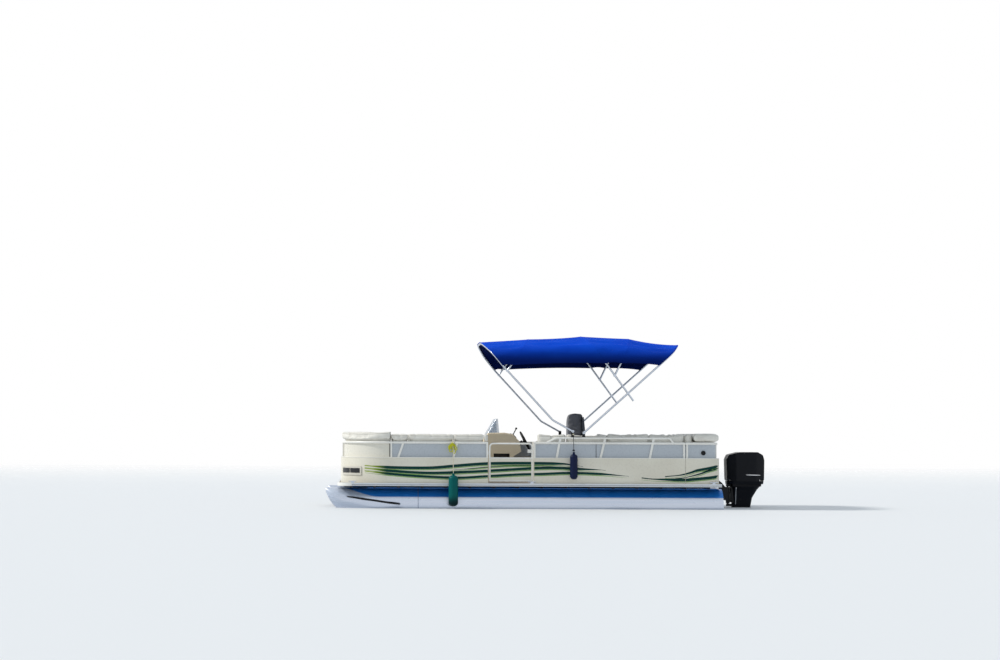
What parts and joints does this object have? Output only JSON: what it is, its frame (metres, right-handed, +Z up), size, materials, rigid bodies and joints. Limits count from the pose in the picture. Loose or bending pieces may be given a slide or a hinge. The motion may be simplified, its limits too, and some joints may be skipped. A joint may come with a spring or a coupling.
{
  "type": "pontoon boat",
  "caption": "Pontoon boat afloat: a railed deck on round tubes, wrap-round seats, helm console, folding canopy, two gates and a tilting outboard motor",
  "frame": {"origin": "on the waterline and the centreline, at the middle of the deck's length", "axes": "+X to the bow along the deck, +Y to port, +Z up"},
  "size_m": [7.5167, 2.754, 3.5862],
  "materials": {
    "brushed_aluminium": "bare sheet and tube, lightly brushed",
    "hull_aluminium": "bare rolled sheet with soft reflections",
    "deck_vinyl": "woven vinyl deck covering",
    "rail_plastic": "extruded pale rub rail",
    "fence_paint": "cream gloss paint with thin dark green stripes",
    "upper_paint": "cream gloss paint",
    "light_housing": "moulded housing with rounded corners",
    "light_lens": "dark lamp lens",
    "seat_plastic": "moulded seat base",
    "cushion_vinyl": "off-white marine vinyl",
    "console_plastic": "tan gelcoat",
    "screen": "smoked acrylic",
    "black_plastic": "moulded, slightly grained",
    "chair_vinyl": "grey marine vinyl",
    "motor_paint": "black gloss paint",
    "motor_block": "plain block",
    "bracket_paint": "black satin paint",
    "propeller_metal": "bare cast blades",
    "canvas": "royal blue woven canvas",
    "green_vinyl": "inflated green vinyl",
    "navy_vinyl": "inflated navy vinyl",
    "rope": "braided line"
  },
  "bodies": {
    "hull": {"port_pontoon": "hull_aluminium", "starboard_pontoon": "hull_aluminium", "cross_members": "brushed_aluminium", "deck_board": "deck_vinyl", "rub_rail": "rail_plastic", "port_bow_frame": "brushed_aluminium", "port_side_frame": "brushed_aluminium", "starboard_frame": "brushed_aluminium", "stern_corner_frames": "brushed_aluminium", "motor_well_frame": "brushed_aluminium", "port_bow_panels": "fence_paint", "port_side_panels": "fence_paint", "starboard_panels": "fence_paint", "stern_panels": "fence_paint", "upper_panels": "upper_paint", "docking_lights": "light_housing", "docking_light_lenses": "light_lens", "mooring_cleats": "brushed_aluminium", "fuel_filler_cap": "black_plastic", "bow_lounge_bases": "seat_plastic", "bow_seat_cushions": "cushion_vinyl", "bow_back_cushions": "cushion_vinyl", "stern_lounge_base": "seat_plastic", "stern_corner_pods": "seat_plastic", "stern_seat_cushions": "cushion_vinyl", "stern_back_cushions": "cushion_vinyl", "corner_pads": "cushion_vinyl", "helm_console": "console_plastic", "windscreen": "screen", "steering_column": "black_plastic", "throttle_control": "black_plastic", "chair_pedestal": "brushed_aluminium", "motor_pod": "hull_aluminium", "clamp_bracket": "bracket_paint", "bimini_aft_bow": "brushed_aluminium", "bimini_mounts": "brushed_aluminium", "canopy": "canvas", "green_fender": "green_vinyl", "navy_fender": "navy_vinyl", "green_fender_line": "rope", "navy_fender_line": "rope", "fender_hitches": "rope"},
    "side_gate": {"side_gate_frame": "brushed_aluminium", "side_gate_panel": "fence_paint"},
    "bow_gate": {"bow_gate_frame": "brushed_aluminium", "bow_gate_panel": "fence_paint"},
    "chair": {"chair_shell": "seat_plastic", "chair_cushions": "chair_vinyl"},
    "motor_tilting_bracket": {"swivel_bracket": "bracket_paint"},
    "motor": {"motor_cowl": "motor_paint", "motor_powerhead": "motor_block", "motor_leg": "motor_paint", "motor_gearcase": "motor_paint"},
    "propeller": {"propeller": "propeller_metal"},
    "steering_wheel": {"steering_wheel": "black_plastic"},
    "front_bow": {"bimini_front_bow": "brushed_aluminium"},
    "front_secondary_bow": {"bimini_front_secondary_bow": "brushed_aluminium"},
    "aft_secondary_bow": {"bimini_aft_secondary_bow": "brushed_aluminium"},
    "middle_bow": {"bimini_middle_bow": "brushed_aluminium"}
  },
  "joints": [
    {"name": "side_gate_hinge", "type": "hinge", "parent": "hull", "child": "side_gate", "pos_m": [0.683, 1.188, 0.7], "axis": [0, 0, 1], "range_deg": [0, 90]},
    {"name": "bow_gate_hinge", "type": "hinge", "parent": "hull", "child": "bow_gate", "pos_m": [3.088, 0.376, 0.7], "axis": [0, 0, -1], "range_deg": [0, 90]},
    {"name": "chair_swivel", "type": "hinge", "parent": "hull", "child": "chair", "pos_m": [-0.7, -0.66, 0.72], "axis": [0, 0, 1], "continuous": true},
    {"name": "motor_tilt", "type": "hinge", "parent": "hull", "child": "motor_tilting_bracket", "pos_m": [-3.36, 0, 0.4], "axis": [0, 1, 0], "range_deg": [0, 68]},
    {"name": "motor_steer", "type": "hinge", "parent": "motor_tilting_bracket", "child": "motor", "pos_m": [-3.5, 0, 0.2], "axis": [0, 0, 1], "range_deg": [-30, 30]},
    {"name": "propeller_spin", "type": "hinge", "parent": "motor", "child": "propeller", "pos_m": [-3.943, 0, -0.42], "axis": [1, 0, 0], "continuous": true},
    {"name": "steering_wheel_turn", "type": "hinge", "parent": "hull", "child": "steering_wheel", "pos_m": [-0.062, -0.8, 1.13], "axis": [-0.8829, 0, 0.4695], "range_deg": [-360, 360]},
    {"name": "bimini_fold", "type": "hinge", "parent": "hull", "child": "front_bow", "pos_m": [-0.717, 0, 1.29], "axis": [0, -1, 0], "range_deg": [0, 85], "deforming": ["canopy"]},
    {"name": "front_secondary_fold", "type": "hinge", "parent": "front_bow", "child": "front_secondary_bow", "pos_m": [0.375, 0, 2.299], "axis": [0, -1, 0], "range_deg": [-55, 0]},
    {"name": "aft_secondary_fold", "type": "hinge", "parent": "hull", "child": "aft_secondary_bow", "pos_m": [-1.64, 0, 1.93], "axis": [0, -1, 0], "range_deg": [0, 78]},
    {"name": "middle_bow_fold", "type": "hinge", "parent": "aft_secondary_bow", "child": "middle_bow", "pos_m": [-1.425, 0, 2.224], "axis": [0, -1, 0], "range_deg": [-60, 0]}
  ],
  "couplings": [
    {"joint": "steering_wheel_turn", "follows": "motor_steer", "ratio": 12},
    {"joint": "front_secondary_fold", "follows": "bimini_fold", "ratio": -0.64588},
    {"joint": "aft_secondary_fold", "follows": "bimini_fold", "ratio": 0.91647},
    {"joint": "middle_bow_fold", "follows": "bimini_fold", "ratio": -0.70471}
  ]
}
